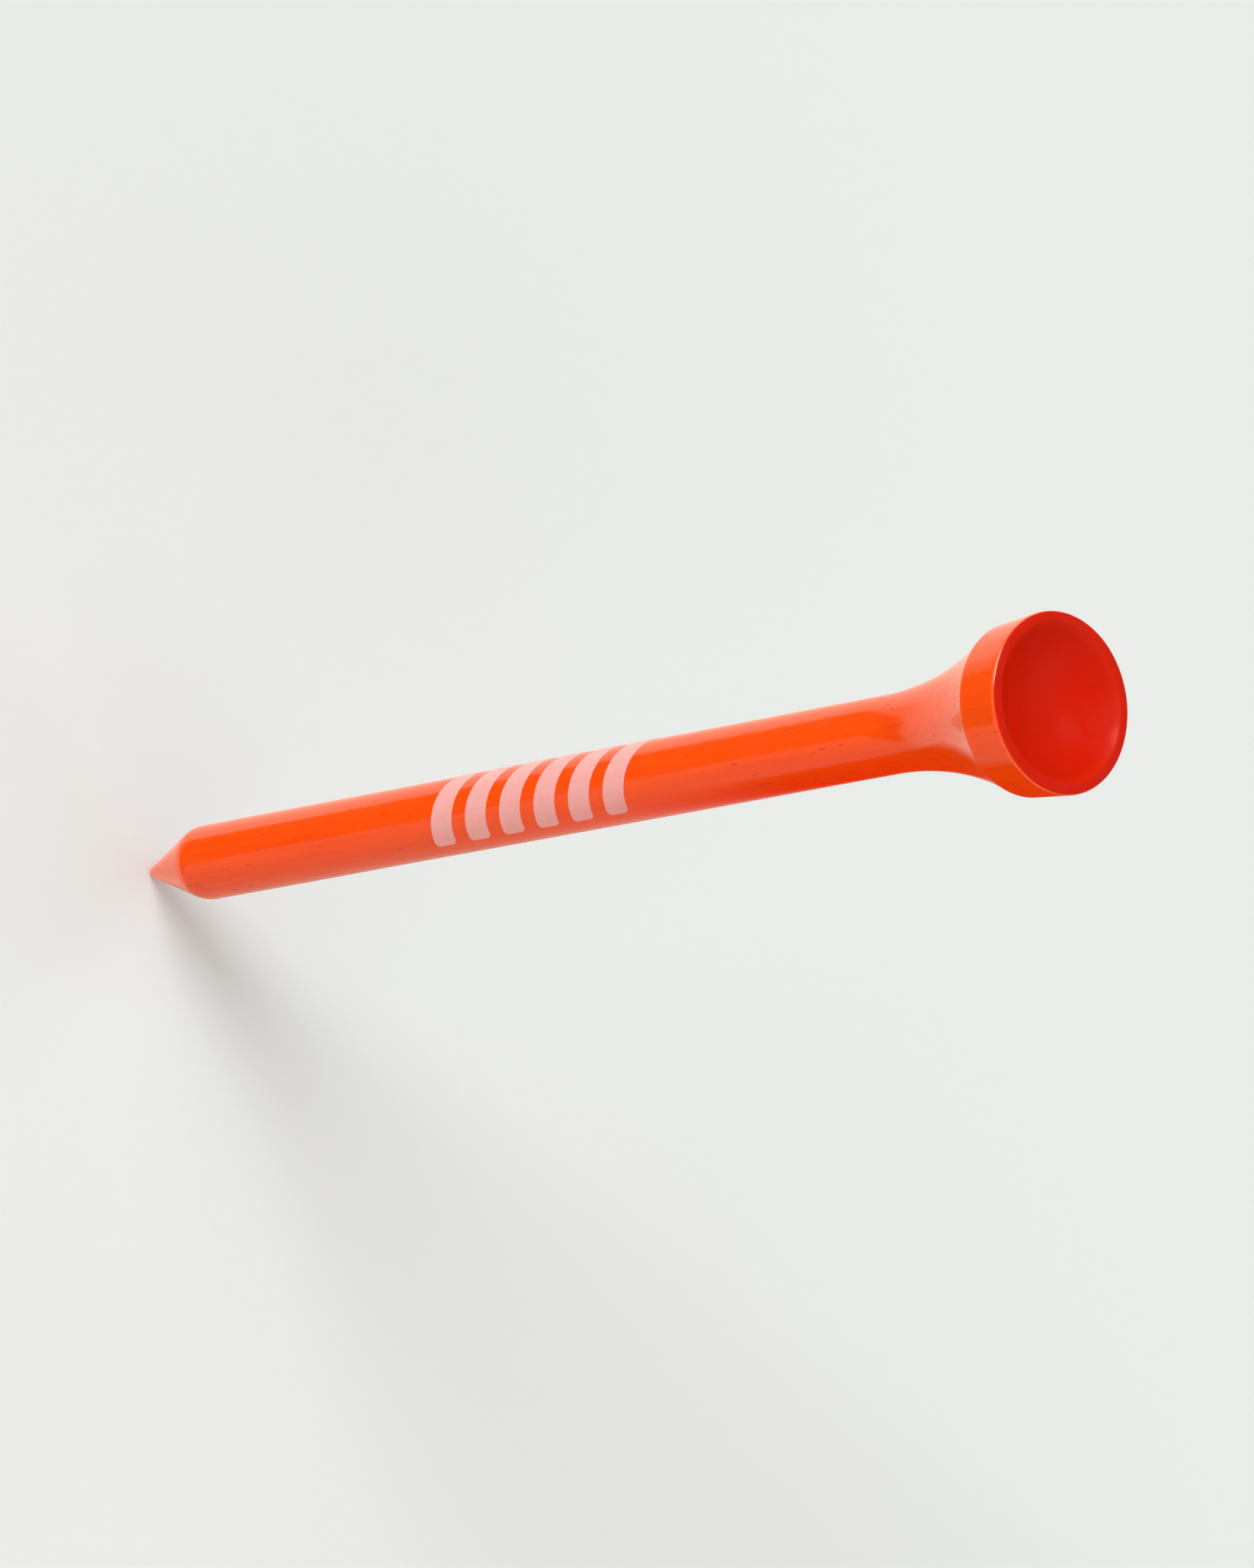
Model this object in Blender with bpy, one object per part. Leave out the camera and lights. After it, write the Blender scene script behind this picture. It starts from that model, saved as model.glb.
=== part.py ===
"""Wooden golf tee: a turned hardwood pin with a cupped head, its lacquer film and a printed mark.

Metres, +Z up along the tee's axis, from the pointed nose to the cup. The origin is on the axis, at
the middle of the stretch of shank that turf or a fabric loop grips. The mark is on the -Y side.
"""

import math

import bmesh
import bpy
from mathutils import Vector

# Outside of the lacquered tee
LENGTH = 0.083
HEAD_DIAMETER = 0.0111
SHANK_TOP_DIAMETER = 0.00485  # where the flare begins
SHANK_LOW_DIAMETER = 0.00472  # where the shoulder begins

# Head: a cup with a narrow flat lip, a short band, and a concave flare down to the shank
CUP_DEPTH = 0.0016
LIP_WIDTH = 0.00045
RIM_ROUNDING = 0.0002
BAND_HEIGHT = 0.0032
BAND_DRAFT = 0.00025  # how much less the band's radius is at its lower corner
FLARE_RADIUS = 0.025

# Point: a rounded shoulder that runs smoothly into a cone with a round nose
SHOULDER_HEIGHT = 0.00112
SHOULDER_DROP = 0.00022  # how much less the radius is at the cone's wide end
POINT_HEIGHT = 0.00458
NOSE_RADIUS = 0.00045

# Lacquer film over the wood. It is open at the nose, where the wood is bare.
FILM_THICKNESS = 0.0001
FILM_CLEARANCE = 0.00002
NOSE_OPENING_DIAMETER = 0.00044

# Printed mark: slanted bars of ink, one after the other along the shank
MARK_LOW = 0.0284  # above the nose
MARK_LENGTH = 0.0197
BAR_COUNT = 6
BAR_WIDTH = 0.0019
BAR_SLANT = 0.0020  # how much higher a bar's -X end is
MARK_FIRST_ANGLE = math.radians(172.5)  # the mark's two ends round the shank, from +X towards +Y
MARK_LAST_ANGLE = math.radians(315.0)
INK_THICKNESS = 0.00005
INK_CLEARANCE = 0.00002

# The gripped stretch's middle above the nose, which is the origin
GRIP_HEIGHT = 0.055

# Facets
SIDES = 48
FACET = 2 * math.pi / SIDES
NOSE_STEPS = 4
SHOULDER_STEPS = 6
FLARE_STEPS = 10
RIM_STEPS = 3
CUP_STEPS = 6
WELD = 1e-7

LACQUER = ("lacquer", (0.86, 0.062, 0.006, 1.0), 0.12)
WOOD = ("birch", (0.72, 0.50, 0.30, 1.0), 0.6)
INK = ("ink", (1.0, 0.50, 0.47, 1.0), 0.35)


def clear_scene():
    for found in list(bpy.data.objects):
        bpy.data.objects.remove(found, do_unlink=True)


def material(kind):
    name, colour, roughness = kind
    made = bpy.data.materials.new(name)
    made.use_nodes = True
    shader = made.node_tree.nodes["Principled BSDF"]
    shader.inputs["Base Color"].default_value = colour
    shader.inputs["Roughness"].default_value = roughness
    shader.inputs["Metallic"].default_value = 0.0
    return made


def arc(radius, height, reach, start, end, steps):
    """Points (radius, height) on an arc about the point (radius, height), between two angles."""
    points = []
    for i in range(steps + 1):
        angle = start + (end - start) * i / steps
        points.append(Vector((radius + reach * math.cos(angle), height + reach * math.sin(angle))))
    return points


def rise(sagitta, reach):
    """How far along its tangent an arc of radius reach goes before it leaves it by sagitta."""
    return math.sqrt(sagitta * (2 * reach - sagitta))


def shoulder_top():
    return POINT_HEIGHT + SHOULDER_HEIGHT


def flare_foot():
    """Where the shank ends and the flare begins, above the nose."""
    spread = HEAD_DIAMETER / 2 - BAND_DRAFT - SHANK_TOP_DIAMETER / 2
    return LENGTH - BAND_HEIGHT - rise(spread, FLARE_RADIUS)


def cup():
    half = HEAD_DIAMETER / 2 - RIM_ROUNDING - LIP_WIDTH
    reach = (half * half + CUP_DEPTH * CUP_DEPTH) / (2 * CUP_DEPTH)
    edge = math.asin(half / reach)
    down = -math.pi / 2
    return arc(0.0, LENGTH - CUP_DEPTH + reach, reach, down, down + edge, CUP_STEPS)


def rim():
    radius = HEAD_DIAMETER / 2 - RIM_ROUNDING
    return arc(radius, LENGTH - RIM_ROUNDING, RIM_ROUNDING, math.pi / 2, 0.0, RIM_STEPS)


def flare():
    centre = SHANK_TOP_DIAMETER / 2 + FLARE_RADIUS
    foot = flare_foot()
    top = math.asin((LENGTH - BAND_HEIGHT - foot) / FLARE_RADIUS)
    return arc(centre, foot, FLARE_RADIUS, math.pi - top, math.pi, FLARE_STEPS)


def shoulder():
    """A convex arc, tangent to the shank, that ends at the cone's wide end."""
    reach = (SHOULDER_DROP * SHOULDER_DROP + SHOULDER_HEIGHT * SHOULDER_HEIGHT) / (2 * SHOULDER_DROP)
    end = -math.acos(1 - SHOULDER_DROP / reach)
    return arc(SHANK_LOW_DIAMETER / 2 - reach, shoulder_top(), reach, 0.0, end, SHOULDER_STEPS)


def nose():
    """The round nose, from where the cone's side is tangent to it to the film's edge, and the axis."""
    out = SHANK_LOW_DIAMETER / 2 - SHOULDER_DROP
    up = POINT_HEIGHT - NOSE_RADIUS
    slope = math.atan2(out, up) - math.asin(NOSE_RADIUS / math.hypot(out, up))
    edge = math.acos(NOSE_OPENING_DIAMETER / 2 / NOSE_RADIUS)
    return arc(0.0, NOSE_RADIUS, NOSE_RADIUS, -slope, -edge, NOSE_STEPS) + [Vector((0.0, 0.0))]


def outside():
    """The lacquered tee's outline, from the cup's middle over the rim and down to the nose."""
    return cup() + rim() + flare() + shoulder() + nose()


def outward(start, end):
    """The outward normal of the outline's piece from start to end."""
    along = (end - start).normalized()
    return Vector((-along.y, along.x))


def inset(outline, depth):
    """The outline moved inwards by depth. Its first and last points stay on the axis."""
    moved = [outline[0] - Vector((0.0, depth))]
    for before, point, after in zip(outline, outline[1:], outline[2:]):
        normal = outward(before, point)
        corner = (normal + outward(point, after)).normalized()
        moved.append(point - corner * depth / corner.dot(normal))
    moved.append(outline[-1] + Vector((0.0, depth)))
    return moved


def add(name, mesh, kind):
    mesh.shade_smooth()
    mesh.set_sharp_from_angle(angle=math.radians(35))
    made = bpy.data.objects.new(name, mesh)
    made.data.materials.append(material(kind))
    bpy.context.collection.objects.link(made)
    return made


def turned(name, outline, kind):
    """A solid of revolution about Z. The outline's heights are above the nose."""
    shape = bmesh.new()
    corners = [shape.verts.new((p.x, 0.0, p.y - GRIP_HEIGHT)) for p in outline]
    edges = [shape.edges.new(pair) for pair in zip(corners, corners[1:])]
    bmesh.ops.spin(
        shape,
        geom=corners + edges,
        cent=(0.0, 0.0, 0.0),
        axis=(0.0, 0.0, 1.0),
        angle=2 * math.pi,
        steps=SIDES,
        use_merge=True,
    )
    bmesh.ops.remove_doubles(shape, verts=shape.verts, dist=WELD)
    bmesh.ops.recalc_face_normals(shape, faces=shape.faces)
    mesh = bpy.data.meshes.new(name)
    shape.to_mesh(mesh)
    shape.free()
    return add(name, mesh, kind)


def wood_body():
    return turned("wood_body", inset(outside(), FILM_THICKNESS + FILM_CLEARANCE), WOOD)


def lacquer_coat():
    """The film, whose two skins both stop at the nose opening."""
    outer = outside()
    inner = inset(outer, FILM_THICKNESS)
    return turned("lacquer_coat", outer[:-1] + inner[-2::-1], LACQUER)


def shank_radius(height):
    low = shoulder_top()
    share = (height - low) / (flare_foot() - low)
    return (SHANK_LOW_DIAMETER + share * (SHANK_TOP_DIAMETER - SHANK_LOW_DIAMETER)) / 2


def ink_bar(name, low):
    """One slanted bar, wrapped round the shank. Its corners lie over the shank's own facet edges."""
    shape = bmesh.new()
    first = round(MARK_FIRST_ANGLE / FACET)
    last = round(MARK_LAST_ANGLE / FACET)
    count = last - first
    rings = []
    for i in range(count + 1):
        angle = (last - i) * FACET
        start = low + BAR_SLANT * i / count
        ring = []
        for height, lift in ((start, 0), (start, 1), (start + BAR_WIDTH, 1), (start + BAR_WIDTH, 0)):
            radius = shank_radius(height) + INK_CLEARANCE + lift * INK_THICKNESS
            place = (radius * math.cos(angle), radius * math.sin(angle), height - GRIP_HEIGHT)
            ring.append(shape.verts.new(place))
        rings.append(ring)
    for ring, following in zip(rings, rings[1:]):
        for a in range(len(ring)):
            b = (a + 1) % len(ring)
            shape.faces.new((ring[a], ring[b], following[b], following[a]))
    shape.faces.new(rings[0])
    shape.faces.new(rings[-1])
    bmesh.ops.recalc_face_normals(shape, faces=shape.faces)
    mesh = bpy.data.meshes.new(name)
    shape.to_mesh(mesh)
    shape.free()
    return add(name, mesh, INK)


def ink_mark():
    pitch = (MARK_LENGTH - BAR_WIDTH - BAR_SLANT) / (BAR_COUNT - 1)
    for i in range(BAR_COUNT):
        ink_bar(f"ink_bar_{i + 1}", MARK_LOW + pitch * i)


def main():
    clear_scene()
    wood_body()
    lacquer_coat()
    ink_mark()


main()
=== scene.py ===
"""Looks of the wooden golf tee: a lacquered turned pin with a printed mark, on a pale studio floor.

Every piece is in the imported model's frame: metres, +Z along the tee's axis towards the cup.
"""

import math

import bpy
import numpy as np
from mathutils import Matrix, Vector, noise


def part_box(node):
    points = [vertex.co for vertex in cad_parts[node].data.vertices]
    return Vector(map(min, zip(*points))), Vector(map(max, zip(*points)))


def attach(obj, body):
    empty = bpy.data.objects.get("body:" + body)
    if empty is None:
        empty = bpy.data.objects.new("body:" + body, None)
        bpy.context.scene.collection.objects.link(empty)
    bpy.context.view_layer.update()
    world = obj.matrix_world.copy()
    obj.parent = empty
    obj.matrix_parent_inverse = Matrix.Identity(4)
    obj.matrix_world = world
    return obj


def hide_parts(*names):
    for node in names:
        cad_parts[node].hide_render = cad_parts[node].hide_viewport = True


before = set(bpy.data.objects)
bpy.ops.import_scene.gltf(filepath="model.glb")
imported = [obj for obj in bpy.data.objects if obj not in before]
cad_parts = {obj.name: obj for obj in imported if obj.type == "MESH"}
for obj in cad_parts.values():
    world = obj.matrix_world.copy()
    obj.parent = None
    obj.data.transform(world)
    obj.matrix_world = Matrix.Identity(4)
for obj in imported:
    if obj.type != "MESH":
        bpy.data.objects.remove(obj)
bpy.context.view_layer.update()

MM = 0.001
MICRON = 0.000001

COAT_LOW, COAT_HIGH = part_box("lacquer_coat")

# The turned outline, above the nose. The frame gives the length and the head's diameter.
HEAD_RADIUS = (COAT_HIGH.x - COAT_LOW.x) / 2
SHANK_TOP_RADIUS = 2.425 * MM
SHANK_LOW_RADIUS = 2.36 * MM
CUP_DEPTH = 1.6 * MM
LIP_WIDTH = 0.45 * MM
RIM_ROUNDING = 0.2 * MM
BAND_HEIGHT = 3.2 * MM
BAND_DRAFT = 0.25 * MM
FLARE_RADIUS = 25 * MM
SHOULDER_HEIGHT = 1.12 * MM
POINT_HEIGHT = 4.58 * MM
POINT_RADIUS = 2.14 * MM
NOSE_RADIUS = 0.45 * MM
NOSE_OPENING_RADIUS = 0.22 * MM
NOSE_EDGE = math.acos(NOSE_OPENING_RADIUS / NOSE_RADIUS)
FILM_THICKNESS = 0.1 * MM
FILM_CLEARANCE = 0.02 * MM
NOSE_Z = COAT_LOW.z - NOSE_RADIUS * (1 - math.sin(NOSE_EDGE))
LENGTH = COAT_HIGH.z - NOSE_Z

# Mesh density
SIDES = 240
FINE_SPACING = 0.01 * MM
COARSE_SPACING = 0.4 * MM
RING_SPACING = 0.4 * MM
RING_TURN = math.radians(5)
CORNER_SOFTNESS = 0.035 * MM

# Relief of the lacquered surface: how much there is, and its noise cells in a metre along each axis
OUT_OF_ROUND = 12 * MICRON
OUT_OF_ROUND_CELLS = (260, 260, 75)
GRAIN_RELIEF = 2.2 * MICRON
GRAIN_CELLS = (3600, 3600, 130)
TOOL_RELIEF = 1.0 * MICRON
TOOL_CELLS = (4200, 0, 2600)  # along the radius, round the axis and along it

# Where the lacquer pools, thins and fills, and where shade is painted: the upward-facing head gets the
# cup's painted shade, and inner corners get painted crease shade. A bend is one over its radius.
POOLED_AND_SHADED_FROM = 0.5  # the upward part of the surface's normal
POOLED_AND_SHADED_FULL = 0.85
THIN_RADIUS = 0.09 * MM  # an outer corner this sharp is fully thin
CREVICE_RADIUS = 0.05 * MM  # and an inner one this sharp is a full crevice

# Printed mark. The frame gives each bar's place and its extent along the shank.
BAR_COUNT = 6
BAR_SLANT = 2.0 * MM
MARK_FIRST_ANGLE = math.radians(172.5)
MARK_LAST_ANGLE = math.radians(315.0)
BAR_CORNER = 0.4 * MM
BAR_EDGE = 0.045 * MM
BAR_RAGGED = 0.012 * MM
RAGGED_CELLS = (5000, 9, 900)
INK_LIFT = 2 * MICRON
INK_THICKNESS = 16 * MICRON
INK_EDGE_SHARE = 0.15  # of the thickness, at a bar's edge
INK_COLUMNS = 120
COLUMN_CROWDING = 0.6  # how strongly the columns crowd towards a bar's two ends
INK_EDGE_STEPS = 4
INK_MIDDLE_STEPS = 8

# Camera: on the -Y side, well off the tee's axis, rolled so that the tee slants up to the right
CAMERA_OFF_AXIS = math.radians(43)
CAMERA_ROLL = math.radians(10.6)
CAMERA_DISTANCE = 1.05
FRAME_FILL = 0.80  # the tee's share of the picture's width
SENSOR = 36
PICTURE_ASPECT = 1646 / 2058

FLOOR_HALF = 2.0


# Outline ----------------------------------------------------------------------------------------

def arc(radius, height, reach, start, end, spacing):
    """Points (radius, height) on an arc about the point (radius, height), spacing apart."""
    count = max(3, math.ceil(abs(end - start) * reach / spacing))
    angles = np.linspace(start, end, count + 1)
    return np.column_stack((radius + reach * np.cos(angles), height + reach * np.sin(angles)))


def rise(sagitta, reach):
    """How far along its tangent an arc of radius reach goes before it leaves it by sagitta."""
    return math.sqrt(sagitta * (2 * reach - sagitta))


def cup(spacing):
    half = HEAD_RADIUS - RIM_ROUNDING - LIP_WIDTH
    reach = (half * half + CUP_DEPTH * CUP_DEPTH) / (2 * CUP_DEPTH)
    edge = math.asin(half / reach)
    down = -math.pi / 2
    return arc(0.0, LENGTH - CUP_DEPTH + reach, reach, down, down + edge, spacing)


def rim(spacing):
    height = LENGTH - RIM_ROUNDING
    return arc(HEAD_RADIUS - RIM_ROUNDING, height, RIM_ROUNDING, math.pi / 2, 0.0, spacing)


def flare_foot():
    spread = HEAD_RADIUS - BAND_DRAFT - SHANK_TOP_RADIUS
    return LENGTH - BAND_HEIGHT - rise(spread, FLARE_RADIUS)


def flare(spacing):
    foot = flare_foot()
    top = math.asin((LENGTH - BAND_HEIGHT - foot) / FLARE_RADIUS)
    centre = SHANK_TOP_RADIUS + FLARE_RADIUS
    return arc(centre, foot, FLARE_RADIUS, math.pi - top, math.pi, spacing)


def shoulder_top():
    return POINT_HEIGHT + SHOULDER_HEIGHT


def shoulder(spacing):
    drop = SHANK_LOW_RADIUS - POINT_RADIUS
    reach = (drop * drop + SHOULDER_HEIGHT * SHOULDER_HEIGHT) / (2 * drop)
    end = -math.acos(1 - drop / reach)
    return arc(SHANK_LOW_RADIUS - reach, shoulder_top(), reach, 0.0, end, spacing)


def nose(spacing):
    """The round nose, from where the cone's side is tangent to it to the film's edge."""
    up = POINT_HEIGHT - NOSE_RADIUS
    slope = math.atan2(POINT_RADIUS, up) - math.asin(NOSE_RADIUS / math.hypot(POINT_RADIUS, up))
    return arc(0.0, NOSE_RADIUS, NOSE_RADIUS, -slope, -NOSE_EDGE, spacing)


def outline(spacing):
    """The lacquered tee's outline, from the cup's middle over the rim and down to the film's edge."""
    parts = [cup(spacing), rim(spacing), flare(spacing), shoulder(spacing), nose(spacing)]
    return np.vstack(parts)


def resampled(points, spacing):
    """Points evenly spaced along the polyline."""
    along = np.concatenate(([0.0], np.cumsum(np.hypot(*np.diff(points, axis=0).T))))
    places = np.linspace(0.0, along[-1], math.ceil(along[-1] / spacing) + 1)
    return np.column_stack([np.interp(places, along, points[:, k]) for k in (0, 1)])


def softened(points, spacing, width):
    """The polyline with its corners rounded by a Gaussian of that width."""
    reach = math.ceil(3 * width / spacing)
    offsets = np.arange(-reach, reach + 1) * spacing
    weights = np.exp(-0.5 * (offsets / width) ** 2)
    weights /= weights.sum()
    before = 2 * points[0] - points[reach:0:-1]
    after = 2 * points[-1] - points[-2:-reach - 2:-1]
    padded = np.vstack((before, points, after))
    return np.column_stack([np.convolve(padded[:, k], weights, "valid") for k in (0, 1)])


def outward(points):
    """Outward unit normals of an outline that runs from the cup's middle to the nose."""
    along = np.gradient(points, axis=0)
    along /= np.hypot(*along.T)[:, None]
    return np.column_stack((-along[:, 1], along[:, 0]))


def mitred(points, depth):
    """The outline moved inwards by depth, with its corners kept sharp."""
    along = np.diff(points, axis=0)
    along /= np.hypot(*along.T)[:, None]
    normals = np.column_stack((-along[:, 1], along[:, 0]))
    before = np.vstack((normals[:1], normals))
    after = np.vstack((normals, normals[-1:]))
    corner = before + after
    corner /= np.hypot(*corner.T)[:, None]
    share = depth / np.sum(corner * after, axis=1)
    moved = points - corner * share[:, None]
    moved[0, 0] = 0.0
    return moved


def fine_outline():
    """The outline's ring places, their normals, and how sharply it turns outwards at each."""
    points = resampled(outline(FINE_SPACING), FINE_SPACING)
    points = softened(points, FINE_SPACING, CORNER_SOFTNESS)
    points[0, 0] = 0.0
    normals = outward(points)
    lengths = np.hypot(*np.diff(points, axis=0).T)
    headings = np.unwrap(np.arctan2(normals[:, 1], normals[:, 0]))
    turns = -np.diff(headings)
    travel = np.cumsum(lengths / RING_SPACING + np.abs(turns) / RING_TURN)
    places = np.linspace(0.0, travel[-1], math.ceil(travel[-1]) + 1)
    chosen = np.unique(np.searchsorted(travel, places))
    bend = np.append(turns / lengths, 0.0)
    return points[chosen], normals[chosen], bend[chosen]


# Surface ----------------------------------------------------------------------------------------

def new_object(name, points, faces):
    mesh = bpy.data.meshes.new(name)
    mesh.from_pydata(points, [], faces)
    mesh.validate()
    made = bpy.data.objects.new(name, mesh)
    bpy.context.collection.objects.link(made)
    return made


def noise_in(place, cells):
    return noise.noise(Vector([along * count for along, count in zip(place, cells)]))


def relief(x, y, z):
    """How far the lacquer stands off the turned outline: out of round, grain and tool marks."""
    slow = noise_in((x, y, z), OUT_OF_ROUND_CELLS)
    grain = noise_in((x, y, z), GRAIN_CELLS)
    tool = noise_in((math.hypot(x, y), 0.0, z - NOSE_Z), TOOL_CELLS)
    return OUT_OF_ROUND * slow + GRAIN_RELIEF * grain + TOOL_RELIEF * tool


def shank_radius(height):
    low = shoulder_top()
    share = (height - low) / (flare_foot() - low)
    return SHANK_LOW_RADIUS + share * (SHANK_TOP_RADIUS - SHANK_LOW_RADIUS)


def ring(radius, height):
    """One ring of points round the axis."""
    angles = np.arange(SIDES) * 2 * math.pi / SIDES
    z = np.full(SIDES, height + NOSE_Z)
    return np.column_stack((radius * np.cos(angles), radius * np.sin(angles), z))


def embossed(rings, normals):
    """The rings with the surface's relief added along their normals."""
    made = []
    for points, (out, up) in zip(rings, normals):
        lifts = np.array([relief(*point) for point in points])
        across = points[:, :2] / np.hypot(*points[:, :2].T)[:, None]
        direction = np.column_stack((across * out, np.full(SIDES, up)))
        made.append(points + direction * lifts[:, None])
    return made


def lathe_faces(count, first):
    """Quads between count rings that start at vertex number first."""
    faces = []
    for row in range(count - 1):
        a = first + row * SIDES
        b = a + SIDES
        for side in range(SIDES):
            following = (side + 1) % SIDES
            faces.append((a + side, b + side, b + following, a + following))
    return faces


def lathe(name, start, rings, end):
    """A closed turned body: a point on the axis, rings, and another point on the axis."""
    points = np.vstack([[(0.0, 0.0, start + NOSE_Z)], *rings, [(0.0, 0.0, end + NOSE_Z)]])
    faces = lathe_faces(len(rings), 1)
    last = len(points) - 1
    tail = last - SIDES
    for side in range(SIDES):
        following = (side + 1) % SIDES
        faces.append((0, 1 + side, 1 + following))
        faces.append((last, tail + following, tail + side))
    made = new_object(name, points.tolist(), faces)
    made.data.shade_smooth()
    return made


def paint(made, name, values):
    """Stores one number for each vertex, for the material to read."""
    layer = made.data.attributes.new(name, "FLOAT", "POINT")
    layer.data.foreach_set("value", np.asarray(values, dtype=np.float32))


def lacquer_film():
    """The film: a finely modelled outer skin and a plain inner one, joined at the nose opening."""
    points, normals, bend = fine_outline()
    outer = embossed([ring(*point) for point in points[1:]], normals[1:])
    inner_points = mitred(outline(COARSE_SPACING), FILM_THICKNESS)
    inner = [ring(*point) for point in inner_points[:0:-1]]
    made = lathe("lacquer_film", points[0][1], outer + inner, inner_points[0][1])
    inside = len(inner) * SIDES + 1
    # Upward-facing surface at the head: where the lacquer pools, and where the cup and lip get their
    # painted shade.
    facing_up = np.clip((normals[1:, 1] - POOLED_AND_SHADED_FROM) / (POOLED_AND_SHADED_FULL - POOLED_AND_SHADED_FROM), 0.0, 1.0)
    pooled_and_shaded = facing_up * (points[1:, 1] > LENGTH - 2 * CUP_DEPTH)
    thin = np.clip(bend[1:] * THIN_RADIUS, 0.0, 1.0)
    crevice = np.clip(-bend[1:] * CREVICE_RADIUS, 0.0, 1.0)
    paint(made, "crevice", np.concatenate(([0.0], np.repeat(crevice, SIDES), np.zeros(inside))))
    paint(made, "pooled_and_shaded", np.concatenate(([1.0], np.repeat(pooled_and_shaded, SIDES), np.zeros(inside))))
    paint(made, "thin", np.concatenate(([0.0], np.repeat(thin, SIDES), np.zeros(inside))))
    return made


def wood_core():
    """The turned wood under the film, with its bare tip filling the nose opening."""
    depth = FILM_THICKNESS + FILM_CLEARANCE
    points = mitred(outline(COARSE_SPACING), depth)
    clear = FILM_CLEARANCE / NOSE_RADIUS
    inner_reach = NOSE_RADIUS - FILM_THICKNESS
    plug_reach = NOSE_RADIUS - FILM_CLEARANCE / 2
    plug = arc(0.0, NOSE_RADIUS, plug_reach, -NOSE_EDGE - clear, -math.pi / 2, COARSE_SPACING / 10)
    turn = NOSE_EDGE + FILM_CLEARANCE / inner_reach
    neck = (inner_reach * math.cos(turn), NOSE_RADIUS - inner_reach * math.sin(turn))
    rings = [ring(*point) for point in (*points[1:], neck, *plug[:-1])]
    return lathe("wood_core", points[0][1], rings, plug[-1][1])


def bar_sections(width):
    """Steps across a bar, as (side, distance in from the edge) with side -1 or 1, low edge first."""
    inward = BAR_EDGE * (1 - np.cos(np.linspace(0.0, math.pi / 2, INK_EDGE_STEPS + 1)))
    low = [(-1, e) for e in inward]
    high = [(1, e) for e in inward[::-1]]
    middle = np.linspace(BAR_EDGE, width - BAR_EDGE, INK_MIDDLE_STEPS + 1)[1:-1]
    return low + [(-1, e) for e in middle] + high


def bar_point(angle, height, lift):
    radius = shank_radius(height)
    x, y, z = radius * math.cos(angle), radius * math.sin(angle), height + NOSE_Z
    radius += relief(x, y, z) + lift
    return (radius * math.cos(angle), radius * math.sin(angle), z)


def bar_faces(across, count):
    """Quads of a bar with count top points, across of them in a column, and then as many base points."""
    faces = []
    for i in range(INK_COLUMNS):
        for j in range(across - 1):
            a = i * across + j
            b = a + across
            faces.append((a, a + 1, b + 1, b))
            faces.append((count + a, count + b, count + b + 1, count + a + 1))
    last = INK_COLUMNS * across
    for j in range(across - 1):
        faces.append((j, count + j, count + j + 1, j + 1))
        faces.append((last + j, last + j + 1, count + last + j + 1, count + last + j))
    for i in range(INK_COLUMNS):
        for j in (0, across - 1):
            a = i * across + j
            b = a + across
            quad = (a, b, count + b, count + a)
            faces.append(quad if j == 0 else quad[::-1])
    return faces


def ink_bar(name):
    """One printed bar, wrapped round the shank, with rounded corners and slightly ragged edges."""
    low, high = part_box(name)
    width = high.z - low.z - BAR_SLANT
    start = low.z - NOSE_Z
    radius = shank_radius(start)
    length = (MARK_LAST_ANGLE - MARK_FIRST_ANGLE) * radius
    sections = bar_sections(width)
    top = []
    base = []
    for turn in np.linspace(0.0, math.pi, INK_COLUMNS + 1):
        crowded = COLUMN_CROWDING * (1 - math.cos(turn)) / 2
        along = length * (crowded + (1 - COLUMN_CROWDING) * turn / math.pi)
        near_end = min(along, length - along, BAR_CORNER)
        cut = BAR_CORNER - math.sqrt(BAR_CORNER ** 2 - (BAR_CORNER - near_end) ** 2)
        angle = MARK_LAST_ANGLE - along / radius
        middle = start + width / 2 + BAR_SLANT * along / length
        end_rise = near_end + INK_EDGE_SHARE * BAR_EDGE
        for side, inward in sections:
            ragged = BAR_RAGGED * noise_in((along, side, middle), RAGGED_CELLS)
            across = side * (width / 2 - cut + ragged) * (1 - inward / (width / 2))
            from_edge = min(1.0, min(inward, width - inward, end_rise) / BAR_EDGE)
            swell = math.sqrt(1 - (1 - from_edge) ** 2)
            thickness = INK_THICKNESS * (INK_EDGE_SHARE + (1 - INK_EDGE_SHARE) * swell)
            top.append(bar_point(angle, middle + across, INK_LIFT + thickness))
            base.append(bar_point(angle, middle + across, INK_LIFT))
    made = new_object(name + "_print", top + base, bar_faces(len(sections), len(top)))
    made.data.shade_smooth()
    made.data.set_sharp_from_angle(angle=math.radians(50))
    return made


# Node helpers -----------------------------------------------------------------------------------

def node(tree, kind, inputs=None, **settings):
    """A new node. An input is given a number, a colour or another node's output socket."""
    made = tree.nodes.new(kind)
    for name, value in settings.items():
        setattr(made, name, value)
    for key, value in (inputs or {}).items():
        if isinstance(value, bpy.types.NodeSocket):
            tree.links.new(value, made.inputs[key])
        else:
            made.inputs[key].default_value = value
    return made


def calc(tree, operation, first, second=0.0, third=0.0):
    made = node(tree, "ShaderNodeMath", {0: first, 1: second, 2: third}, operation=operation)
    return made.outputs[0]


def ramp(tree, value, low, high, to_low=0.0, to_high=1.0):
    """The value's smooth step from to_low to to_high between low and high."""
    inputs = {"Value": value, 1: low, 2: high, 3: to_low, 4: to_high}
    made = node(tree, "ShaderNodeMapRange", inputs, interpolation_type="SMOOTHSTEP")
    return made.outputs["Result"]


def mixed(tree, share, first, second):
    """A colour between two, by share."""
    made = node(tree, "ShaderNodeMix", data_type="RGBA")
    for socket, value in ((made.inputs[0], share), (made.inputs[6], first), (made.inputs[7], second)):
        if isinstance(value, bpy.types.NodeSocket):
            tree.links.new(value, socket)
        else:
            socket.default_value = value
    return made.outputs[2]


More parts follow.
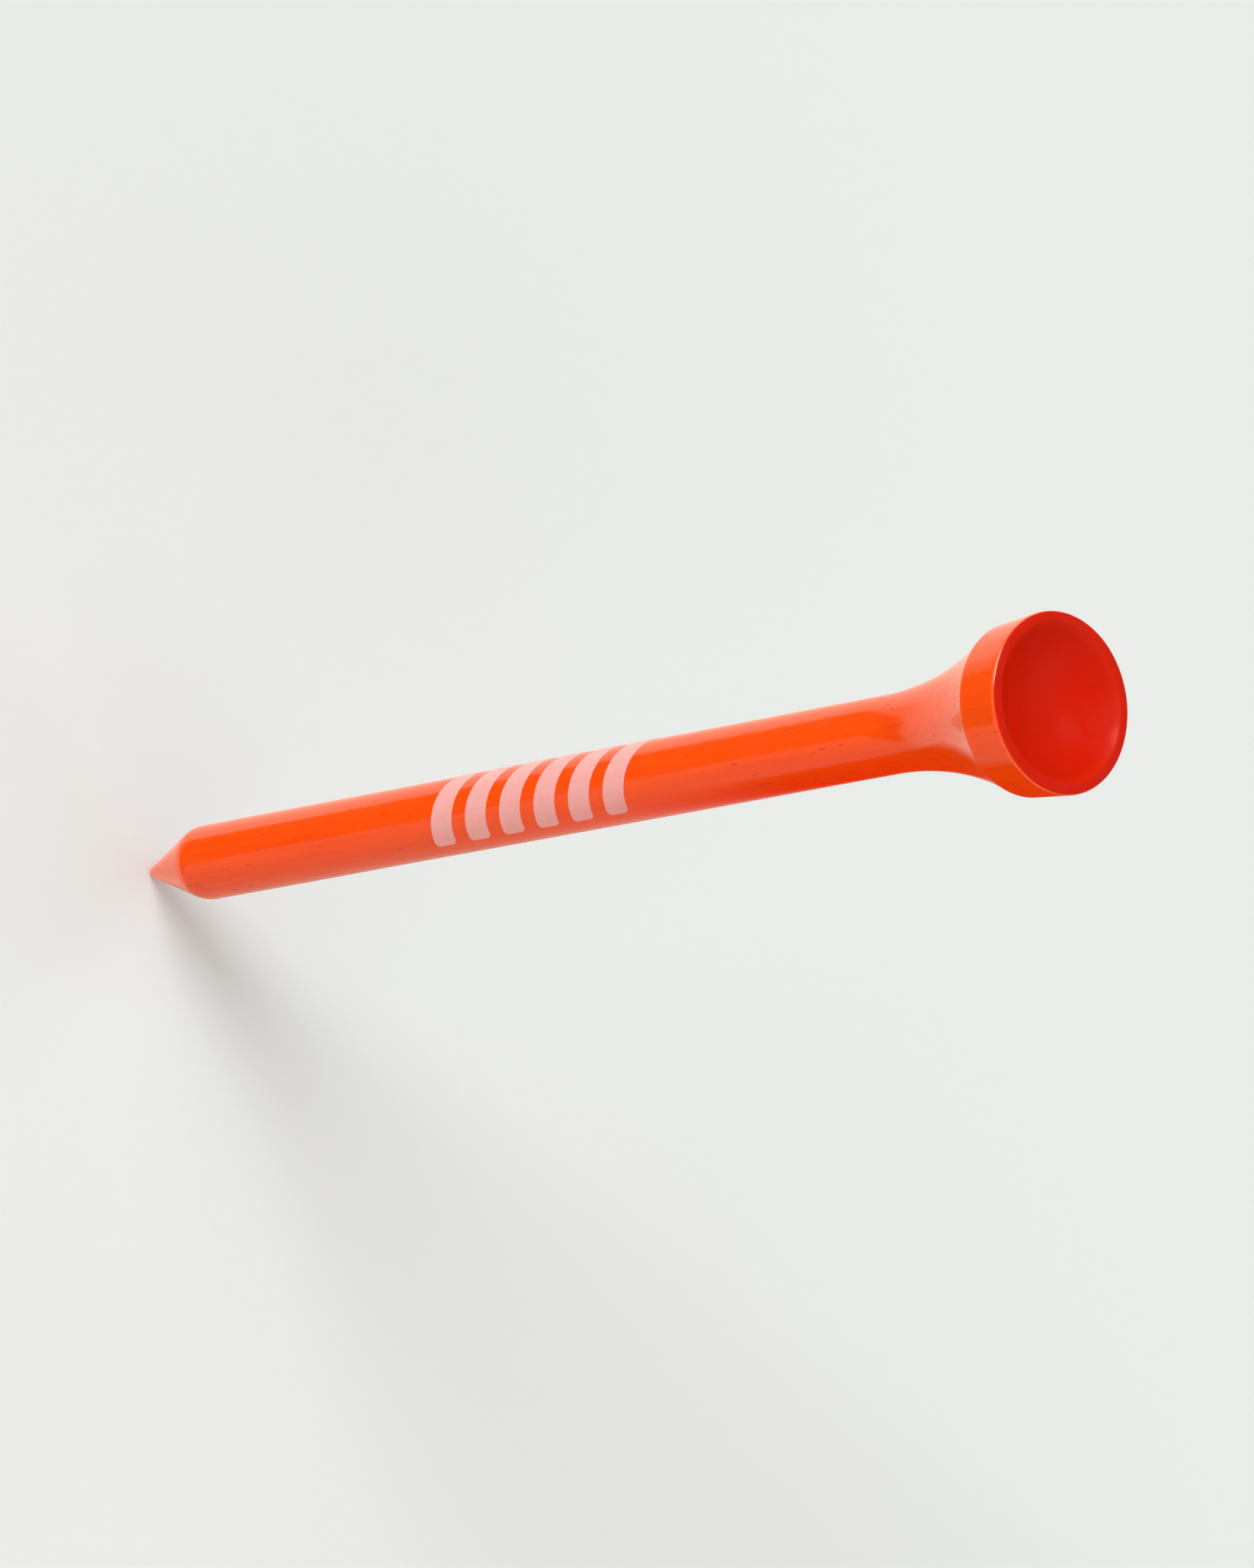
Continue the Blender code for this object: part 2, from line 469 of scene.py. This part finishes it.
def noise_at(tree, place, scale, detail=2.0, roughness=0.5):
    inputs = {"Vector": place, "Scale": scale, "Detail": detail, "Roughness": roughness}
    return node(tree, "ShaderNodeTexNoise", inputs).outputs["Fac"]


def spots_at(tree, place, scale):
    """The distance to the nearest of many scattered points."""
    made = node(tree, "ShaderNodeTexVoronoi", {"Vector": place, "Scale": scale})
    return made.outputs["Distance"]


def bumped(tree, shader, height, distance):
    inputs = {"Height": height, "Strength": 1.0, "Distance": distance}
    tree.links.new(node(tree, "ShaderNodeBump", inputs).outputs[0], shader.inputs["Normal"])


def stretched(tree, place, scale):
    """The place scaled by a different number along each axis."""
    return node(tree, "ShaderNodeMapping", {"Vector": place, "Scale": scale}).outputs[0]


def new_material(name):
    """A material whose Principled shader is returned with its tree."""
    made = bpy.data.materials.new(name)
    made.use_nodes = True
    tree = made.node_tree
    return made, tree, tree.nodes["Principled BSDF"]


def attribute(tree, name):
    return node(tree, "ShaderNodeAttribute", attribute_name=name).outputs["Fac"]


def object_place(tree):
    """The place in millimetres."""
    place = node(tree, "ShaderNodeTexCoord").outputs["Object"]
    return stretched(tree, place, (1 / MM, 1 / MM, 1 / MM))


# Materials --------------------------------------------------------------------------------------

LACQUER_LIT = (0.93, 0.076, 0.0025, 1)
# Darker red for the cup and lip: painted shade, not a different lacquer.
LACQUER_CUP_SHADE = (0.53, 0.0045, 0.0003, 1)
# Darker streak colour: real grain streaks, and also the painted shade in inner corners.
LACQUER_STREAK_AND_CREASE_SHADE = (0.66, 0.024, 0.001, 1)
LACQUER_THIN = (0.96, 0.17, 0.05, 1)
LACQUER_PORE = (0.28, 0.012, 0.001, 1)
INK_FULL = (0.83, 0.385, 0.36, 1)
INK_THIN = (0.90, 0.20, 0.13, 1)
WOOD_PALE = (0.74, 0.53, 0.33, 1)
WOOD_DARK = (0.50, 0.31, 0.16, 1)

# Where the torn marks begin and end, in millimetres above the band's foot
TICKS_BEGIN = (-5.0, -2.0)
TICKS_END = (-0.3, 0.1)

# Noise cells in a millimetre, along each axis or all ways
STREAK_CELLS = (3.2, 3.2, 0.10)
CLOUD_CELLS = (0.35, 0.35, 0.12)
PORE_CELLS = (5.0, 5.0, 0.55)
PORE_PATCH_CELLS = (0.8, 0.8, 0.16)
TICK_CELLS = (2.2, 2.2, 2.6)
TICK_TEAR_CELLS = (4.0, 4.0, 1.4)
TICK_PATCH_CELLS = 0.6
SMUDGE_CELLS = 0.55
PEEL_CELLS = 1.5
INK_MOTTLE_CELLS = 2.2
INK_HOLE_CELLS = 2.4
WOOD_BAND_CELLS = (1.0, 0.25, 0.02)
WOOD_FIBRE_CELLS = (9.0, 9.0, 0.3)

LACQUER_ROUGHNESS = (0.07, 0.13)
LACQUER_IOR = 1.5
LACQUER_BUMP = 10 * MICRON
INK_ROUGHNESS = (0.30, 0.45)
INK_IOR = 1.48
INK_BUMP = 6 * MICRON
WOOD_ROUGHNESS = (0.5, 0.75)
WOOD_BUMP = 15 * MICRON


def tool_ticks(tree, place):
    """Small torn marks in the upper flare, where the cutter crossed the grain."""
    z = node(tree, "ShaderNodeSeparateXYZ", {0: place}).outputs[2]
    above = calc(tree, "SUBTRACT", z, (LENGTH - BAND_HEIGHT + NOSE_Z) / MM)
    begun = ramp(tree, above, *TICKS_BEGIN)
    there = calc(tree, "MULTIPLY", begun, ramp(tree, above, *reversed(TICKS_END)))
    spots = spots_at(tree, stretched(tree, place, TICK_CELLS), 1.0)
    torn = noise_at(tree, stretched(tree, place, TICK_TEAR_CELLS), 1.0, 3.0, 0.6)
    some = ramp(tree, noise_at(tree, place, TICK_PATCH_CELLS), 0.48, 0.60)
    tick = calc(tree, "MULTIPLY", ramp(tree, spots, 0.34, 0.16), ramp(tree, torn, 0.50, 0.62))
    return calc(tree, "MULTIPLY", calc(tree, "MULTIPLY", tick, some), there)


def lacquer_material():
    made, tree, shader = new_material("orange_red_lacquer")
    place = object_place(tree)
    pooled_and_shaded = attribute(tree, "pooled_and_shaded")
    thin = attribute(tree, "thin")
    crevice = attribute(tree, "crevice")

    streaks = noise_at(tree, stretched(tree, place, STREAK_CELLS), 1.0, 4.0, 0.6)
    cloud = noise_at(tree, stretched(tree, place, CLOUD_CELLS), 1.0, 2.0)
    clouded = ramp(tree, cloud, 0.35, 0.75, -0.2, 0.3)
    tone = calc(tree, "ADD", ramp(tree, streaks, 0.40, 0.72), clouded)
    colour = mixed(tree, calc(tree, "MULTIPLY", tone, 0.22), LACQUER_LIT, LACQUER_STREAK_AND_CREASE_SHADE)

    pores = spots_at(tree, stretched(tree, place, PORE_CELLS), 1.0)
    patches = noise_at(tree, stretched(tree, place, PORE_PATCH_CELLS), 1.0)
    pore = calc(tree, "MULTIPLY", ramp(tree, pores, 0.24, 0.10), ramp(tree, patches, 0.52, 0.62))
    pore = calc(tree, "MULTIPLY", pore, calc(tree, "SUBTRACT", 1.0, pooled_and_shaded))
    pore = calc(tree, "MAXIMUM", pore, tool_ticks(tree, place))
    colour = mixed(tree, calc(tree, "MULTIPLY", pore, 0.75), colour, LACQUER_PORE)

    colour = mixed(tree, calc(tree, "MULTIPLY", thin, 0.7), colour, LACQUER_THIN)
    # Painted shade: inner corners, the crevices, are painted darker.
    colour = mixed(tree, calc(tree, "MULTIPLY", crevice, 0.8), colour, LACQUER_STREAK_AND_CREASE_SHADE)
    # Painted shade: the upward-facing cup and lip are painted a darker red.
    colour = mixed(tree, calc(tree, "MULTIPLY", pooled_and_shaded, 0.92), colour, LACQUER_CUP_SHADE)
    tree.links.new(colour, shader.inputs["Base Color"])

    smudge = noise_at(tree, place, SMUDGE_CELLS, 3.0, 0.6)
    rough = ramp(tree, smudge, 0.35, 0.75, *LACQUER_ROUGHNESS)
    rough = calc(tree, "ADD", rough, calc(tree, "MULTIPLY", pore, 0.3))
    rough = calc(tree, "ADD", rough, calc(tree, "MULTIPLY", pooled_and_shaded, 0.05))
    rough = calc(tree, "ADD", rough, calc(tree, "MULTIPLY", crevice, 0.35))
    tree.links.new(rough, shader.inputs["Roughness"])
    shader.inputs["IOR"].default_value = LACQUER_IOR

    peel = noise_at(tree, place, PEEL_CELLS)
    relief_height = calc(tree, "SUBTRACT", calc(tree, "MULTIPLY", peel, 0.35), pore)
    relief_height = calc(tree, "ADD", relief_height, calc(tree, "MULTIPLY", streaks, 0.25))
    bumped(tree, shader, relief_height, LACQUER_BUMP)
    return made


def ink_material():
    made, tree, shader = new_material("pale_pink_ink")
    place = object_place(tree)
    mottle = noise_at(tree, place, INK_MOTTLE_CELLS, 4.0, 0.65)
    grain = noise_at(tree, stretched(tree, place, STREAK_CELLS), 1.0, 4.0, 0.6)
    worn = ramp(tree, mottle, 0.45, 0.85, 0.0, 0.35)
    worn = calc(tree, "ADD", worn, ramp(tree, grain, 0.5, 0.8, 0.0, 0.3))
    hole = ramp(tree, spots_at(tree, place, INK_HOLE_CELLS), 0.10, 0.05)
    share = calc(tree, "MAXIMUM", worn, calc(tree, "MULTIPLY", hole, 0.8))
    tree.links.new(mixed(tree, share, INK_FULL, INK_THIN), shader.inputs["Base Color"])
    tree.links.new(ramp(tree, mottle, 0.3, 0.8, *INK_ROUGHNESS), shader.inputs["Roughness"])
    shader.inputs["IOR"].default_value = INK_IOR
    height = calc(tree, "SUBTRACT", calc(tree, "MULTIPLY", mottle, 0.6), hole)
    bumped(tree, shader, height, INK_BUMP)
    return made


def wood_material():
    made, tree, shader = new_material("birch_wood")
    place = object_place(tree)
    across = stretched(tree, place, WOOD_BAND_CELLS)
    inputs = {"Vector": across, "Scale": 0.6, "Distortion": 3.0}
    bands = node(tree, "ShaderNodeTexWave", inputs).outputs["Fac"]
    fibre = noise_at(tree, stretched(tree, place, WOOD_FIBRE_CELLS), 1.0, 4.0, 0.7)
    share = ramp(tree, fibre, 0.4, 0.8, 0.0, 0.6)
    share = calc(tree, "ADD", calc(tree, "MULTIPLY", bands, 0.35), share)
    tree.links.new(mixed(tree, share, WOOD_PALE, WOOD_DARK), shader.inputs["Base Color"])
    tree.links.new(ramp(tree, fibre, 0.2, 0.9, *WOOD_ROUGHNESS), shader.inputs["Roughness"])
    bumped(tree, shader, fibre, WOOD_BUMP)
    return made


def floor_material():
    made, _, shader = new_material("pale_floor")
    shader.inputs["Base Color"].default_value = FLOOR_COLOUR
    shader.inputs["Roughness"].default_value = FLOOR_ROUGHNESS
    shader.inputs["Specular IOR Level"].default_value = 0.0
    return made


# Studio -----------------------------------------------------------------------------------------

KEY_DIRECTION = (-0.68, -0.42, 0.60)
WHITE = (1.0, 1.0, 1.0)
WARM = (1.0, 0.66, 0.52)
LIGHTS = (
    ("key", KEY_DIRECTION, 0.55, 30, WHITE),
    ("soft_key", (-0.60, -0.55, 0.45), 0.40, 90, WHITE),
    ("fill", (0.75, -0.45, 0.35), 0.38, 90, WARM),
    ("back_fill", (0.25, 0.85, 0.45), 0.35, 90, WHITE),
    ("top", (0.0, 0.0, 1.0), 0.35, 110, WHITE),
)  # name, direction, level, spread in degrees, colour
GLINT_LEVEL = 1.1
GLINT_SPREAD = 36

FLOOR_COLOUR = (0.675, 0.73, 0.725, 1)
FLOOR_ROUGHNESS = 0.9
BACKDROP_COLOUR = (0.812, 0.836, 0.812, 1)  # the floor's, as lit
BACKDROP_HEIGHT = 2.0

# What the lacquer mirrors, by direction. A pair is where one thing gives way to the next: heights are
# the direction's z, and the other pairs are cosines.
TABLE_EDGE = (-0.42, -0.58)
TABLE_COLOUR = (1.0, 0.88, 0.74, 1)
TABLE_DIM = 0.60
TABLE_BRIGHT = 1.15
BRIGHT_AZIMUTH = math.radians(130)
BRIGHT_EDGE = (0.62, 0.75)
UNDER_LEVEL = 1.15
UNDER_EDGE = (-0.87, -0.95)
FLAG_LEVEL = 0.03
FLAG_START = math.radians(10)
FLAG_END = math.radians(86)
FLAG_SOFTNESS = math.radians(2)
FLAG_LEAN = 4.3  # radians of azimuth per unit of z
FLAG_UPRIGHT = -0.73  # the height where the flag's azimuth is as given
FLAG_HEIGHTS = (-0.89, -0.55)
FLAG_HEIGHT_SOFTNESS = 0.02
ROOM_COLOUR = (0.98, 1.0, 0.99, 1)
WALL_LEVEL = 0.50
STRIPS = (
    (180, 10, 70, 0.9),
    (100, 2, 38, 3.0),
    (-80, 2, 34, 2.5),
)  # azimuth, half width and softness in degrees, level
CEILING_LEVEL = 0.015
CEILING_EDGE = (-0.03, 0.02)
PANEL_LEVEL = 0.13
PANEL_DIRECTION = (-0.34, 0.40, 0.85)
PANEL_EDGE = (0.975, 0.995)

# A red card beside the head, on the +X side, that the camera doesn't see. It lights and shows in the
# head's underside the way a red cloth close to it would.
CARD_X = 9 * MM
CARD_Y = (-8.5 * MM, 46 * MM)
CARD_Z = (34 * MM, 82.5 * MM)  # above the nose
CARD_Y_FADES = (3 * MM, 24 * MM)  # how far in from each end it is partly clear
CARD_Z_FADES = (20 * MM, 3 * MM)
CARD_COLOUR = (0.75, 0.06, 0.01, 1)


def staged(name, points, faces, material, hidden_from):
    """A piece of the studio, with the kinds of ray that don't see it."""
    made = new_object(name, points, faces)
    made.data.materials.append(material)
    for kind in hidden_from:
        setattr(made, "visible_" + kind, False)


def stage_material(name):
    """A material with no shader yet, and its tree."""
    made = bpy.data.materials.new(name)
    made.use_nodes = True
    made.node_tree.nodes.clear()
    return made, made.node_tree


def floor_square():
    half = FLOOR_HALF
    return ((-half, -half), (half, -half), (half, half), (-half, half))


def floor():
    corners = [(x, y, NOSE_Z) for x, y in floor_square()]
    staged("floor", corners, [(0, 1, 2, 3)], floor_material(), ["glossy"])


def backdrop_material():
    made, tree = stage_material("pale_backdrop")
    glow = node(tree, "ShaderNodeEmission", {"Color": BACKDROP_COLOUR}).outputs[0]
    node(tree, "ShaderNodeOutputMaterial", {"Surface": glow})
    return made


def backdrop():
    """Walls round the floor that carry its colour above the horizon. Only the camera sees them."""
    heights = (NOSE_Z, NOSE_Z + BACKDROP_HEIGHT)
    corners = [(x, y, z) for z in heights for x, y in floor_square()]
    sides = [(i, (i + 1) % 4, (i + 1) % 4 + 4, i + 4) for i in range(4)]
    hidden_from = ["diffuse", "glossy", "shadow", "transmission"]
    staged("backdrop", corners, sides, backdrop_material(), hidden_from)


def faded(tree, value, ends, fades):
    """1 between the two ends, falling to 0 at each over its own distance."""
    rising = ramp(tree, value, ends[0], ends[0] + fades[0])
    falling = ramp(tree, value, ends[1], ends[1] - fades[1])
    return calc(tree, "MULTIPLY", rising, falling)


def card_material():
    """Red in the middle and clear towards the edges."""
    made, tree = stage_material("red_card")
    place = node(tree, "ShaderNodeTexCoord").outputs["Object"]
    y, z = node(tree, "ShaderNodeSeparateXYZ", {0: place}).outputs[1:3]
    across = faded(tree, y, CARD_Y, CARD_Y_FADES)
    along = faded(tree, calc(tree, "SUBTRACT", z, NOSE_Z), CARD_Z, CARD_Z_FADES)
    clear = node(tree, "ShaderNodeBsdfTransparent").outputs[0]
    red = node(tree, "ShaderNodeEmission", {"Color": CARD_COLOUR}).outputs[0]
    inputs = {0: calc(tree, "MULTIPLY", across, along), 1: clear, 2: red}
    both = node(tree, "ShaderNodeMixShader", inputs).outputs[0]
    node(tree, "ShaderNodeOutputMaterial", {"Surface": both})
    return made


def card():
    low_y, high_y = CARD_Y
    low_z, high_z = (NOSE_Z + height for height in CARD_Z)
    around = ((low_y, low_z), (high_y, low_z), (high_y, high_z), (low_y, high_z))
    corners = [(CARD_X, y, z) for y, z in around]
    hidden_from = ["camera", "shadow", "transmission"]
    staged("card", corners, [(0, 1, 2, 3)], card_material(), hidden_from)


def sun(name, direction, level, spread, colour=WHITE):
    """A soft distant light. Its level is what it adds to a white surface that faces it."""
    data = bpy.data.lights.new(name, "SUN")
    data.color = colour
    data.energy = level * math.pi
    data.angle = math.radians(spread)
    made = bpy.data.objects.new(name, data)
    made.rotation_mode = "QUATERNION"
    made.rotation_quaternion = Vector(direction).to_track_quat("Z", "Y")
    bpy.context.collection.objects.link(made)
    return made


def lights():
    """Broad soft light that the lacquer doesn't mirror, and one disc that only it mirrors."""
    for light in LIGHTS:
        sun(*light).visible_glossy = False
    sun("glint", KEY_DIRECTION, GLINT_LEVEL, GLINT_SPREAD).visible_diffuse = False


def between(tree, value, low, high, soft):
    """1 where the value is between low and high, with soft edges."""
    rising = ramp(tree, value, low - soft, low + soft)
    falling = ramp(tree, value, high + soft, high - soft)
    return calc(tree, "MULTIPLY", rising, falling)


def facing(tree, direction, target):
    """The cosine of the angle between the direction and the target."""
    target = Vector(target).normalized()
    made = node(tree, "ShaderNodeVectorMath", {0: direction, 1: target}, operation="DOT_PRODUCT")
    return made.outputs["Value"]


def blend(tree, share, first, second):
    """A number between two, by share."""
    made = node(tree, "ShaderNodeMix", {0: share, 2: first, 3: second}, data_type="FLOAT")
    return made.outputs[0]


def table_level(tree, azimuth, z):
    """The table, which the shank shows from above: brighter on the -X side, with a dark flag on it."""
    aside = calc(tree, "COSINE", calc(tree, "SUBTRACT", azimuth, BRIGHT_AZIMUTH))
    level = ramp(tree, aside, *BRIGHT_EDGE, TABLE_DIM, TABLE_BRIGHT)
    offset = calc(tree, "ADD", azimuth, FLAG_UPRIGHT * FLAG_LEAN)
    leaning = calc(tree, "MULTIPLY_ADD", z, -FLAG_LEAN, offset)
    flag = between(tree, leaning, FLAG_START, FLAG_END, FLAG_SOFTNESS)
    flag_height = between(tree, z, *FLAG_HEIGHTS, FLAG_HEIGHT_SOFTNESS)
    level = blend(tree, calc(tree, "MULTIPLY", flag, flag_height), level, FLAG_LEVEL)
    return blend(tree, ramp(tree, z, *UNDER_EDGE), level, UNDER_LEVEL)


def wall_level(tree, azimuth):
    """The walls, with the soft upright strip lights that low views show."""
    level = WALL_LEVEL
    for at, half, soft, strength in STRIPS:
        away = calc(tree, "COSINE", calc(tree, "SUBTRACT", azimuth, math.radians(at)))
        outer = math.cos(math.radians(half + soft))
        inner = math.cos(math.radians(half))
        level = blend(tree, ramp(tree, away, outer, inner), level, strength)
    return level


def surroundings():
    """The studio by direction: a pale table below, walls, and a dark ceiling with one faint panel."""
    world = bpy.data.worlds.new("studio")
    world.use_nodes = True
    bpy.context.scene.world = world
    tree = world.node_tree
    tree.nodes.clear()
    direction = node(tree, "ShaderNodeTexCoord").outputs["Generated"]
    x, y, z = node(tree, "ShaderNodeSeparateXYZ", {0: direction}).outputs
    back_x = calc(tree, "MULTIPLY", x, -1.0)
    back_y = calc(tree, "MULTIPLY", y, -1.0)
    azimuth = calc(tree, "ARCTAN2", back_x, back_y)

    low = ramp(tree, z, *TABLE_EDGE)
    level = blend(tree, low, wall_level(tree, azimuth), table_level(tree, azimuth, z))
    level = blend(tree, ramp(tree, z, *CEILING_EDGE), level, CEILING_LEVEL)
    panel = ramp(tree, facing(tree, direction, PANEL_DIRECTION), *PANEL_EDGE)
    level = blend(tree, panel, level, PANEL_LEVEL)

    colour = mixed(tree, low, ROOM_COLOUR, TABLE_COLOUR)
    background = node(tree, "ShaderNodeBackground", {"Strength": level, "Color": colour})
    node(tree, "ShaderNodeOutputWorld", {"Surface": background.outputs[0]})


def camera():
    """On the -Y side and above, aimed at the middle of the tee as the picture shows it."""
    back = Vector((0.0, -math.sin(CAMERA_OFF_AXIS), math.cos(CAMERA_OFF_AXIS)))
    along = Vector((0.0, math.cos(CAMERA_OFF_AXIS), math.sin(CAMERA_OFF_AXIS)))
    upper = Vector((-1.0, 0.0, 0.0))
    right = math.cos(CAMERA_ROLL) * along - math.sin(CAMERA_ROLL) * upper
    up = math.sin(CAMERA_ROLL) * along + math.cos(CAMERA_ROLL) * upper
    shown = LENGTH * math.sin(CAMERA_OFF_AXIS) + HEAD_RADIUS * math.cos(CAMERA_OFF_AXIS)
    middle = Vector((0.0, 0.0, COAT_HIGH.z))
    middle += along * (HEAD_RADIUS * math.cos(CAMERA_OFF_AXIS) - shown / 2)
    data = bpy.data.cameras.new("camera")
    data.sensor_width = SENSOR
    width = shown * math.cos(CAMERA_ROLL) / FRAME_FILL
    data.lens = CAMERA_DISTANCE * SENSOR * PICTURE_ASPECT / width
    data.clip_start = 0.01
    data.clip_end = 200
    made = bpy.data.objects.new("camera", data)
    made.matrix_world = Matrix.Translation(middle + back * CAMERA_DISTANCE) @ Matrix(
        (right, up, back)
    ).transposed().to_4x4()
    bpy.context.collection.objects.link(made)
    bpy.context.scene.camera = made


def finish_piece(made, material, nodes):
    made.data.materials.append(material)
    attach(made, "root")
    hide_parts(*nodes)


bpy.context.scene.view_settings.view_transform = "Standard"
camera()
floor()
backdrop()
card()
surroundings()
lights()

finish_piece(lacquer_film(), lacquer_material(), ["lacquer_coat"])
finish_piece(wood_core(), wood_material(), ["wood_body"])
INK = ink_material()
for number in range(1, BAR_COUNT + 1):
    bar = f"ink_bar_{number}"
    finish_piece(ink_bar(bar), INK, [bar])
